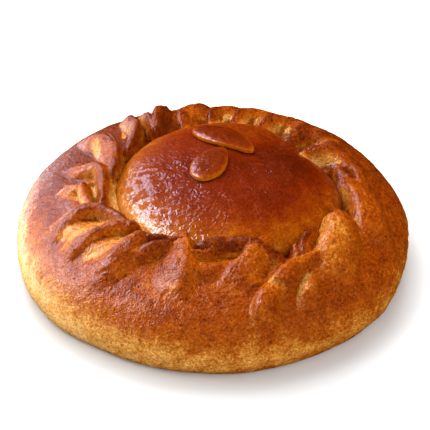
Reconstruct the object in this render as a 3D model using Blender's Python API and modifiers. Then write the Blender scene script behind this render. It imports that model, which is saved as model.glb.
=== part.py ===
"""Round yeast-dough pie: a pleated crust, a domed lid and two dough leaves.

Metres, +Z up. The pie stands on z = 0 and the middle of its foot is the origin.
The side that faces -Y is the front.
"""

import math

import bmesh
import bpy
import numpy as np

MM = 0.001

# Crust
PIE_RADIUS = 128.0 * MM        # the side at its widest
BELLY_HEIGHT = 17.0 * MM       # height of the widest place
FOOT_RADIUS = 121.5 * MM       # where the side meets the table
SHOULDER_RADIUS = 82.0 * MM    # where the rounded side has become level
SHOULDER_HEIGHT = 45.5 * MM
GROOVE_HEIGHT = 42.0 * MM      # dough right beside the lid
GROOVE_WIDTH = 11.0 * MM
CRUST_STEPS = 144
SIDE_ROWS = 18
FOOT_ROWS = 3
INNER_ROWS = 9
INNER_START = 0.70             # the innermost row, as a share of the shoulder radius
TOP_BLEND = 0.3                # share of the height over which the side turns into the top
# The outline isn't quite round. Swellings and flat places: angle, spread (degrees), size (mm)
UNEVEN = (
    (212.0, 14.0, 1.8),
    (242.0, 13.0, -3.0),
    (263.0, 11.0, -2.2),
    (287.0, 14.0, -1.3),
    (326.0, 14.0, 2.2),
    (17.0, 12.0, -1.0),
)

# Lid
LID_CENTRE = (11.0 * MM, 0.5 * MM)
LID_RADIUS = 74.0 * MM
LID_DENT = 12.0 * MM           # the outline is flatter at the back right
LID_DENT_TURN = math.radians(30.0)
LID_DENT_SPREAD = math.radians(52.0)
LID_EDGE_HEIGHT = 43.0 * MM
LID_CROWN_HEIGHT = 63.0 * MM
LID_FULLNESS = 3.0             # 2 is an ellipse, more is squarer
LID_UNDERSIDE = 38.5 * MM
LID_TUCK = (0.6 * MM, 1.5 * MM)  # how far in and how high the side of the lid turns under
LID_UNDERCUT = 3.0 * MM
LID_STEPS = 72
LID_ROWS = 12
# Swellings of the lid: place, height, spread, all in mm
LID_LUMPS = (
    (0.0, 14.0, 2.0, 24.0),
    (47.0, 4.0, 2.6, 20.0),
    (27.0, 14.0, -2.4, 11.0),
    (45.0, 38.0, -3.0, 20.0),
)

# Leaves: centre in mm, turn in degrees, length, width and thickness in mm
LEAVES = {
    "leaf_far": (7.0, 31.5, -37.0, 49.0, 23.0, 4.6),
    "leaf_near": (-2.0, -2.0, 62.0, 37.0, 23.0, 4.6),
}
LEAF_ROWS = 14
LEAF_COLUMNS = 8
LEAF_EDGE = 0.35               # thickness at a leaf's edge as a share of its middle
LEAF_TIP = 0.18                # and at its two ends
LEAF_PUFF = 2.5                # 2 is a plain round top, more is flatter with a rounder edge
LEAF_TAPER = 2.4               # how soon a leaf thickens behind its ends
LEAF_INSET = 0.006             # share of the length by which both ends are blunt

GAP = 0.3 * MM                 # between pieces that lie on each other

# Folds of the rim, each from its foot on the shoulder to its tip by the lid:
# foot angle, foot radius, tip angle, tip radius, hook, width, height, start (degrees and mm).
# A larger hook keeps a fold straight for longer before it turns along the lid, and start is
# the share of its height that a fold has at its foot already.
FOLDS = (
    (203, 107, 225, 70, 2.2, 11, 12, 0.0),
    (217, 108, 226, 70, 1.6, 10, 11, 0.0),
    (227, 109, 234, 73, 1.2, 13, 11, 0.0),
    (234, 73, 256, 65, 1.0, 6, 10, 0.9),
    (250, 110, 257, 67, 1.0, 18, 11, 0.0),
    (257, 71, 270, 72, 1.0, 8, 10, 0.9),
    (269, 111, 291, 70, 1.1, 20, 11, 0.0),
    (299, 89, 267, 65, 1.9, 7, 11, 0.5),
    (284, 122, 288, 103, 1.0, 10, 8, 0.0),
    (289, 104, 309, 93, 1.3, 9, 9, 0.6),
    (302, 92, 306, 83, 1.0, 4, 9, 0.4),
    (307, 87, 325, 80, 1.3, 7, 11, 0.6),
    (297, 121, 303, 105, 1.0, 8, 6, 0.0),
    (308, 119, 330, 83, 1.0, 17, 14, 0.0),
    (313, 117, 331, 90, 1.0, 10, 12, 0.2),
    (331, 107, 355, 85, 1.1, 13, 10, 0.0),
    (357, 95, 371, 86, 1.0, 9, 9, 0.7),
    (366, 101, 387, 70, 1.6, 13, 11, 0.0),
    (384, 98, 404, 77, 1.4, 12, 11, 0.0),
    (400, 99, 415, 75, 1.5, 14, 10, 0.0),
    (418, 101, 427, 68, 1.4, 12, 10, 0.0),
    (430, 102, 435, 70, 1.0, 12, 10, 0.0),
    (448, 100, 457, 68, 1.2, 11, 9, 0.0),
    (468, 90, 468, 69, 1.0, 5, 9, 0.4),
    (466, 100, 483, 72, 1.0, 8, 11, 0.0),
    (481, 98, 484, 73, 1.0, 7, 11, 0.0),
    (486, 102, 507, 65, 2.2, 8, 12, 0.0),
    (502, 104, 529, 64, 2.2, 12, 12, 0.0),
    (527, 99, 561, 71, 2.6, 8, 12, 0.0),
    (544, 101, 559, 80, 2.2, 8, 9, 0.0),
)
# Sunken pockets between folds: start angle, start radius, end angle, end radius, width, depth
POCKETS = (
    (206, 103, 211, 76, 7, 3),
    (221, 100, 226, 78, 7, 3),
    (182, 97, 193, 81, 6, 3),
    (168, 93, 177, 76, 6, 3),
    (238, 99, 241, 76, 7, 4),
    (266, 92, 278, 73, 6, 3),
    (283, 95, 296, 77, 7, 4),
    (304, 95, 316, 84, 6, 4),
)
STEEP_SHARE = 0.38             # width of a fold's steep side against its gentle side
FOLD_FULLNESS = 2.6            # 2 is a plain round crest, more is fuller
FOLD_FOOT_WIDTH = 1.25         # width at the foot and at the tip, as shares of the width
FOLD_TIP_WIDTH = 0.75
LEAN = 2.5 * MM                # how far a fold's crest hangs over its steep side
SWIRL = math.radians(22.0)     # how far the folds turn on their way in
SWIRL_RADIUS = 112.0 * MM      # where they start to turn
FOLD_RISE = 0.75               # below 1, a fold gains height soon after its foot
LID_SINK = 3.5 * MM            # dough beside a fold lies this far under the lid's top
FOLD_PATH_STEPS = 10
PATCH = 1.3 * MM               # folds are evened out over a patch of this radius
PATCH_POINTS = 6
SIDE_LIFT = 0.6                # how far a fold on the sloping side stands outward
OUTLINE_BLEND = 0.8            # share of the shoulder radius where the uneven outline begins

# Colours (linear RGB) and roughness
CRUST_BROWN = (0.52, 0.22, 0.06, 1.0)
LID_BROWN = (0.40, 0.12, 0.02, 1.0)
LEAF_BROWN = (0.30, 0.08, 0.02, 1.0)
CRUST_ROUGHNESS = 0.45
GLAZE_ROUGHNESS = 0.25


def clear_scene():
    for old in list(bpy.data.objects):
        bpy.data.objects.remove(old, do_unlink=True)


def new_collection(name):
    collection = bpy.data.collections.new(name)
    bpy.context.scene.collection.children.link(collection)
    return collection


def dough_material(name, colour, roughness):
    material = bpy.data.materials.new(name)
    material.use_nodes = True
    shader = material.node_tree.nodes["Principled BSDF"]
    shader.inputs["Base Color"].default_value = colour
    shader.inputs["Roughness"].default_value = roughness
    shader.inputs["Metallic"].default_value = 0.0
    return material


def smooth_step(value):
    value = np.clip(value, 0.0, 1.0)
    return value * value * (3.0 - 2.0 * value)


def lid_outline(turn):
    """Radius of the lid about its own centre."""
    away = np.abs((turn - LID_DENT_TURN + math.pi) % (2.0 * math.pi) - math.pi)
    dent = np.cos(np.clip(away / LID_DENT_SPREAD, 0.0, 1.0) * math.pi / 2.0) ** 2
    return LID_RADIUS - LID_DENT * dent


def lid_reach(x, y):
    """Distance from the lid's centre as a share of its outline: 1 at the edge."""
    across, along = x - LID_CENTRE[0], y - LID_CENTRE[1]
    return np.hypot(across, along) / lid_outline(np.arctan2(along, across))


def lid_top(x, y):
    reach = np.clip(lid_reach(x, y), 0.0, 1.0)
    dome = np.sqrt(1.0 - reach ** LID_FULLNESS)
    height = LID_EDGE_HEIGHT + (LID_CROWN_HEIGHT - LID_EDGE_HEIGHT) * dome
    for lump_x, lump_y, rise, spread in LID_LUMPS:
        away = np.hypot(x - lump_x * MM, y - lump_y * MM) / (spread * MM)
        height = height + rise * MM * np.exp(-away * away) * np.minimum(1.0, 2.0 * dome)
    return height


def fold_path(fold):
    """Plan points of a fold's crest, from foot to tip."""
    foot_angle, foot_radius, tip_angle, tip_radius, hook = fold[:5]
    along = np.linspace(0.0, 1.0, FOLD_PATH_STEPS + 1)
    radius = (tip_radius + (foot_radius - tip_radius) * (1.0 - along) ** hook) * MM
    angle = np.radians(foot_angle + (tip_angle - foot_angle) * along ** hook)
    return np.stack([radius * np.cos(angle), radius * np.sin(angle)], axis=1)


def beside_path(points, path):
    """Distance to a path, share of its length, side (+1 is the steep one) and side direction."""
    best = np.full(len(points), np.inf)
    share = np.zeros(len(points))
    side = np.ones(len(points))
    across = np.zeros((len(points), 2))
    for step in range(len(path) - 1):
        start, run = path[step], path[step + 1] - path[step]
        rel = points - start
        part = np.clip(rel @ run / (run @ run), 0.0, 1.0)
        away = rel - part[:, None] * run
        distance = np.hypot(away[:, 0], away[:, 1])
        right = np.array([run[1], -run[0]]) / math.hypot(*run)
        nearer = distance < best
        best = np.where(nearer, distance, best)
        share = np.where(nearer, (step + part) / (len(path) - 1), share)
        side = np.where(nearer, np.where(rel @ right > 0.0, 1.0, -1.0), side)
        across = np.where(nearer[:, None], right, across)
    return best, share, side, across


def add_folds(points, bed, level):
    """Raise folds over the dough bed; also says how far their crests lean, in plan."""
    height = bed.copy()
    lean = np.zeros((len(points), 2))
    for fold in FOLDS:
        width, rise, start = fold[5] * MM, fold[6] * MM, fold[7]
        distance, share, side, across = beside_path(points, fold_path(fold))
        reach = width * (FOLD_FOOT_WIDTH + (FOLD_TIP_WIDTH - FOLD_FOOT_WIDTH) * share)
        reach = reach * np.where(side > 0.0, STEEP_SHARE, 1.0)
        form = (1.0 - np.clip(distance / reach, 0.0, 1.0) ** FOLD_FULLNESS) ** 2
        crest = level + rise * (start + (1.0 - start) * share ** FOLD_RISE)
        own = bed + (crest - bed) * form
        higher = own > height
        lean = np.where(higher[:, None], across * (LEAN * form * share)[:, None], lean)
        height = np.where(higher, own, height)
    return height, lean


def soft_folds(points, bed, level):
    """Folds averaged over a small patch round each point, so that their edges are even."""
    turns = [math.tau * place / PATCH_POINTS for place in range(PATCH_POINTS)]
    shifts = [(0.0, 0.0)] + [(PATCH * math.cos(turn), PATCH * math.sin(turn)) for turn in turns]
    results = [add_folds(points + np.array(shift), bed, level) for shift in shifts]
    height = sum(result[0] for result in results) / len(results)
    lean = sum(result[1] for result in results) / len(results)
    return height, lean


def pocket_depth(points):
    """Depth of the hollows between folds at plan points."""
    depth = np.zeros(len(points))
    for angle_1, radius_1, angle_2, radius_2, width, deep in POCKETS:
        path = fold_path((angle_1, radius_1, angle_2, radius_2, 1.0))
        distance, share, _, _ = beside_path(points, path)
        reach = width * MM * (0.5 + 0.5 * np.sin(math.pi * share))
        form = 0.5 + 0.5 * np.cos(math.pi * np.clip(distance / reach, 0.0, 1.0))
        depth = np.maximum(depth, deep * MM * form)
    return depth


def crust_profile():
    """Half outline of the crust, from the middle of the top down the outside to the foot."""
    points = [(0.0, SHOULDER_HEIGHT)]
    for row in range(INNER_ROWS):
        share = INNER_START + (1.0 - INNER_START) * row / INNER_ROWS
        points.append((SHOULDER_RADIUS * share, SHOULDER_HEIGHT))
    width, rise = PIE_RADIUS - SHOULDER_RADIUS, SHOULDER_HEIGHT - BELLY_HEIGHT
    for row in range(SIDE_ROWS + 1):
        turn = math.pi / 2.0 * (1.0 - row / SIDE_ROWS)
        points.append((SHOULDER_RADIUS + width * math.cos(turn),
                       BELLY_HEIGHT + rise * math.sin(turn)))
    for row in range(1, FOOT_ROWS + 1):
        turn = math.pi / 2.0 * row / FOOT_ROWS
        points.append((FOOT_RADIUS + (PIE_RADIUS - FOOT_RADIUS) * math.cos(turn),
                       BELLY_HEIGHT * (1.0 - math.sin(turn))))
    return points + [(0.0, 0.0)]


def lid_profile():
    """Half outline of the lid, as if it were round and level on top."""
    points = []
    for row in range(LID_ROWS + 1):
        points.append((LID_RADIUS * math.sin(math.pi / 2.0 * row / LID_ROWS), LID_EDGE_HEIGHT))
    points.append((LID_RADIUS - LID_TUCK[0], LID_UNDERSIDE + LID_TUCK[1]))
    points.append((LID_RADIUS - LID_UNDERCUT, LID_UNDERSIDE))
    return points + [(0.0, LID_UNDERSIDE)]


def turned_mesh(name, profile, steps):
    """A closed mesh made by turning a profile about the z axis with a Screw modifier."""
    outline = bpy.data.meshes.new(name + "_outline")
    corners = [(radius, 0.0, height) for radius, height in profile]
    outline.from_pydata(corners, [(i, i + 1) for i in range(len(corners) - 1)], [])
    turned = bpy.data.objects.new(name + "_outline", outline)
    bpy.context.scene.collection.objects.link(turned)
    screw = turned.modifiers.new("Turn", "SCREW")
    screw.steps = steps
    screw.render_steps = steps
    screw.use_merge_vertices = True
    screw.merge_threshold = 0.05 * MM
    graph = bpy.context.evaluated_depsgraph_get()
    mesh = bpy.data.meshes.new_from_object(turned.evaluated_get(graph))
    mesh.name = name
    bpy.data.objects.remove(turned, do_unlink=True)
    return mesh


def mesh_points(mesh):
    flat = np.empty(len(mesh.vertices) * 3, dtype=np.float32)
    mesh.vertices.foreach_get("co", flat)
    return flat.reshape(-1, 3).astype(float)


def set_mesh_points(mesh, points):
    mesh.vertices.foreach_set("co", points.astype(np.float32).ravel())
    mesh.update()


def swirled(points, top):
    """Turn the rows of the mesh so that they run the way the folds do."""
    radius = np.hypot(points[:, 0], points[:, 1])
    share = 1.0 - smooth_step((radius - LID_RADIUS) / (SWIRL_RADIUS - LID_RADIUS))
    turn = SWIRL * share * top
    swirl = points.copy()
    swirl[:, 0] = points[:, 0] * np.cos(turn) - points[:, 1] * np.sin(turn)
    swirl[:, 1] = points[:, 0] * np.sin(turn) + points[:, 1] * np.cos(turn)
    return swirl


def swelling(plan):
    """How far the outline stands out of the round at plan points."""
    angle = np.degrees(np.arctan2(plan[:, 1], plan[:, 0]))
    total = np.zeros(len(plan))
    for centre, spread, size in UNEVEN:
        away = ((angle - centre + 180.0) % 360.0 - 180.0) / spread
        total += size * MM * np.exp(-away * away)
    return total


def shape_crust(mesh):
    """Give the turned crust its groove, pockets, folds and uneven outline."""
    points = mesh_points(mesh)
    blend = TOP_BLEND * (SHOULDER_HEIGHT - BELLY_HEIGHT)
    top = smooth_step((points[:, 2] - BELLY_HEIGHT) / blend)
    points = swirled(points, top)
    plan = points[:, :2]
    radius = np.hypot(plan[:, 0], plan[:, 1])
    beyond_lid = (lid_reach(plan[:, 0], plan[:, 1]) - 1.0) * LID_RADIUS
    groove = (1.0 - smooth_step(beyond_lid / GROOVE_WIDTH)) * top
    bed = points[:, 2] - (SHOULDER_HEIGHT - GROOVE_HEIGHT) * groove
    bed = bed - pocket_depth(plan) * top
    under_lid = smooth_step(-beyond_lid / (4.0 * GAP)) * top
    in_lid = np.maximum(lid_top(plan[:, 0], plan[:, 1]) - LID_SINK, LID_UNDERSIDE + 1.0 * MM)
    bed = bed + (in_lid - bed) * under_lid
    folded, lean = soft_folds(plan, bed, points[:, 2])
    lift = (folded - points[:, 2]) * top
    tilt = np.clip((radius - SHOULDER_RADIUS) / (PIE_RADIUS - SHOULDER_RADIUS), 0.0, 1.0)
    outward = plan / np.maximum(radius, 1.0 * MM)[:, None]
    shaped = points.copy()
    shaped[:, 2] += lift * np.sqrt(1.0 - tilt ** 2 / 2.0)
    shaped[:, :2] += outward * (lift * SIDE_LIFT * tilt)[:, None] + lean * top[:, None]
    outer = smooth_step(radius / SHOULDER_RADIUS - OUTLINE_BLEND)
    grown = 1.0 + swelling(plan) / PIE_RADIUS * outer
    shaped[:, :2] *= grown[:, None]
    set_mesh_points(mesh, shaped)


def shape_lid(mesh):
    """Give the turned lid its outline, its dome and its swellings."""
    points = mesh_points(mesh)
    turn = np.arctan2(points[:, 1], points[:, 0])
    points[:, :2] *= (lid_outline(turn) / LID_RADIUS)[:, None]
    points[:, 0] += LID_CENTRE[0]
    points[:, 1] += LID_CENTRE[1]
    on_top = points[:, 2] > LID_EDGE_HEIGHT - GAP
    points[on_top, 2] = lid_top(points[on_top, 0], points[on_top, 1])
    set_mesh_points(mesh, points)


def leaf_half_width(along):
    """Half width of a leaf as a share of its greatest: round at 0, pointed at 1."""
    return math.sin(math.pi * along ** 0.8) ** 0.62


def make_leaf(name, collection, values):
    """A puffed leaf of dough that follows the top of the lid."""
    centre_x, centre_y, turn, length, width, thickness = values
    turn = math.radians(turn)
    corners, faces = [], []

    def add_corner(along, across, upper):
        half = leaf_half_width(along) * width / 2.0
        run, offset = (along - 0.5) * length, across * half
        x = (centre_x + run * math.cos(turn) - offset * math.sin(turn)) * MM
        y = (centre_y + run * math.sin(turn) + offset * math.cos(turn)) * MM
        bed = float(lid_top(np.array([x]), np.array([y]))[0]) + 1.5 * GAP
        puff = math.sqrt(1.0 - abs(across) ** LEAF_PUFF)
        puff *= min(1.0, LEAF_TAPER * leaf_half_width(along))
        edge = LEAF_TIP if along in ends else LEAF_EDGE
        corners.append((x, y, bed + upper * thickness * MM * (edge + (1.0 - edge) * puff)))
        return len(corners) - 1

    shares = [0.5 - 0.5 * math.cos(math.pi * i / LEAF_ROWS) for i in range(LEAF_ROWS + 1)]
    shares = [LEAF_INSET + (1.0 - 2.0 * LEAF_INSET) * share for share in shares]
    ends = (shares[0], shares[-1])
    sides = [2.0 * i / LEAF_COLUMNS - 1.0 for i in range(LEAF_COLUMNS + 1)]
    sheets = []
    for upper in (1.0, 0.0):
        sheets.append([[add_corner(share, side, upper) for side in sides] for share in shares])
    for sheet, flip in zip(sheets, (False, True)):
        for row in range(LEAF_ROWS):
            for column in range(LEAF_COLUMNS):
                square = [sheet[row][column], sheet[row + 1][column],
                          sheet[row + 1][column + 1], sheet[row][column + 1]]
                faces.append(square[::-1] if flip else square)
    rim = [(0, column) for column in range(LEAF_COLUMNS)]
    rim += [(row, LEAF_COLUMNS) for row in range(LEAF_ROWS)]
    rim += [(LEAF_ROWS, column) for column in range(LEAF_COLUMNS, 0, -1)]
    rim += [(row, 0) for row in range(LEAF_ROWS, 0, -1)]
    for place, (row, column) in enumerate(rim):
        next_row, next_column = rim[(place + 1) % len(rim)]
        faces.append([sheets[0][row][column], sheets[0][next_row][next_column],
                      sheets[1][next_row][next_column], sheets[1][row][column]])
    mesh = bpy.data.meshes.new(name)
    mesh.from_pydata(corners, [], faces)
    leaf = bpy.data.objects.new(name, mesh)
    collection.objects.link(leaf)
    return leaf


def add_material(piece, material):
    piece.data.materials.clear()
    piece.data.materials.append(material)


def make_lid(collection):
    mesh = turned_mesh("lid_crust", lid_profile(), LID_STEPS)
    shape_lid(mesh)
    lid = bpy.data.objects.new("lid_crust", mesh)
    collection.objects.link(lid)
    return lid


def make_cutter(lid, collection):
    """The lid's own shape, grown by the gap, that hollows its seat out of the crust."""
    cutter = bpy.data.objects.new("lid_seat_cutter", lid.data.copy())
    collection.objects.link(cutter)
    grow = cutter.modifiers.new("Grow", "DISPLACE")
    grow.strength = 1.3 * GAP
    grow.mid_level = 0.0
    cutter.hide_render = True
    cutter.display_type = "WIRE"
    return cutter


def drop_scraps(mesh):
    """Keep only the largest connected body of a mesh."""
    form = bmesh.new()
    form.from_mesh(mesh)
    unseen = set(form.verts)
    bodies = []
    while unseen:
        front = [unseen.pop()]
        body = set(front)
        while front:
            for edge in front.pop().link_edges:
                for corner in edge.verts:
                    if corner in unseen:
                        unseen.remove(corner)
                        body.add(corner)
                        front.append(corner)
        bodies.append(body)
    bodies.sort(key=len)
    scraps = [corner for body in bodies[:-1] for corner in body]
    bmesh.ops.delete(form, geom=scraps, context="VERTS")
    form.to_mesh(mesh)
    form.free()


def make_crust(collection, cutter):
    mesh = turned_mesh("base_crust", crust_profile(), CRUST_STEPS)
    shape_crust(mesh)
    crust = bpy.data.objects.new("base_crust", mesh)
    collection.objects.link(crust)
    seat = crust.modifiers.new("Lid seat", "BOOLEAN")
    seat.operation = "DIFFERENCE"
    seat.solver = "EXACT"
    seat.object = cutter
    graph = bpy.context.evaluated_depsgraph_get()
    cut = bpy.data.meshes.new_from_object(crust.evaluated_get(graph))
    crust.modifiers.clear()
    drop_scraps(cut)
    crust.data = cut
    return crust


def build_pie():
    clear_scene()
    pie = new_collection("cabbage_mackerel_pie")
    cutters = new_collection("cutters")
    lid = make_lid(pie)
    crust = make_crust(pie, make_cutter(lid, cutters))
    add_material(crust, dough_material("Baked dough", CRUST_BROWN, CRUST_ROUGHNESS))
    add_material(lid, dough_material("Glazed dough", LID_BROWN, GLAZE_ROUGHNESS))
    leaf_finish = dough_material("Dark glazed dough", LEAF_BROWN, GLAZE_ROUGHNESS)
    for name, values in LEAVES.items():
        add_material(make_leaf(name, pie, values), leaf_finish)


build_pie()
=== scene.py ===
"""Baked look of a cabbage and mackerel pie: crust with a folded rim, glossy lid, two leaves.

Metres, +Z up. The pie stands on z = 0, the middle of its foot is the origin and -Y is its front.
Tables of folds, hollows, lumps, rings and looks are in millimetres and degrees.
"""

import math

import bpy
import numpy as np
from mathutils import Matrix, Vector, noise


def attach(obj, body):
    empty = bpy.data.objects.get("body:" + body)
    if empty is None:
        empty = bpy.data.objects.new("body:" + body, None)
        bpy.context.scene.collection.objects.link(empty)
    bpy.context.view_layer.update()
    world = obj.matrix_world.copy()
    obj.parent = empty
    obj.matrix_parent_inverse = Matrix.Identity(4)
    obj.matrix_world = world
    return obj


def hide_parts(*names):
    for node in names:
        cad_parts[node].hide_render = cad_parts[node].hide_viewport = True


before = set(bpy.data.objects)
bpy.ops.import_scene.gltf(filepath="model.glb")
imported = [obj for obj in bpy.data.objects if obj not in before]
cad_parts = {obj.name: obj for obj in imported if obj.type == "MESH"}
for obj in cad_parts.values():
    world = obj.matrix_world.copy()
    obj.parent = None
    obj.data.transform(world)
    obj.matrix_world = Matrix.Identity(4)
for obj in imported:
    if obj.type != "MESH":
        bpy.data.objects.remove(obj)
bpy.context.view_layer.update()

bl_info = {
    "name": "Cabbage and mackerel pie",
    "version": (1, 0, 0),
    "blender": (4, 5, 0),
    "location": "3D View > Sidebar > Pie",
    "description": "Builds the baked crust, lid and leaves of a round pie",
    "category": "Add Mesh",
}

MM = 0.001

# Rows and steps of the crust's grid, which is finest on top, and the part of the height from the
# belly to the shoulder over which folds and hollows fade in
CRUST_STEPS = 860
INNER_RADIUS = 54.0 * MM
FINE_RADIUS = 112.0 * MM
FINE_SPACING = 0.8 * MM
SIDE_ROWS = 30
FOOT_ROWS = 10
TOP_BLEND = 0.3

# The outline isn't quite round. Swellings and flat places: angle, spread, size; and where they
# begin and are full, as shares of the shoulder's radius
UNEVEN = (
    (212, 14, 1.8), (242, 13, -3.0), (263, 11, -2.2),
    (287, 14, -1.3), (326, 14, 2.2), (17, 12, -1.0),
)
UNEVEN_ZONE = (0.8, 1.8)

# Swirl of the grid, so that its rows run the way the folds do
SWIRL = math.radians(22.0)


def fold(crest, left, right, rounded, tones, lean=0.0):
    """A fold of the rim, seen from its foot to its tip.

    crest: (angle, radius, rise over the dough) of its points; left, right: width of each side at
    foot and tip; rounded: how full each side is, from 0 a hollow skirt to 1 a roll; tones: how
    brown the left side, the crest and the right side are, on some folds partly painted light and
    shade; lean: of the crest to the right.
    """
    return {"crest": crest, "widths": (left, right), "rounded": rounded, "tones": tones,
            "lean": lean}


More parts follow.
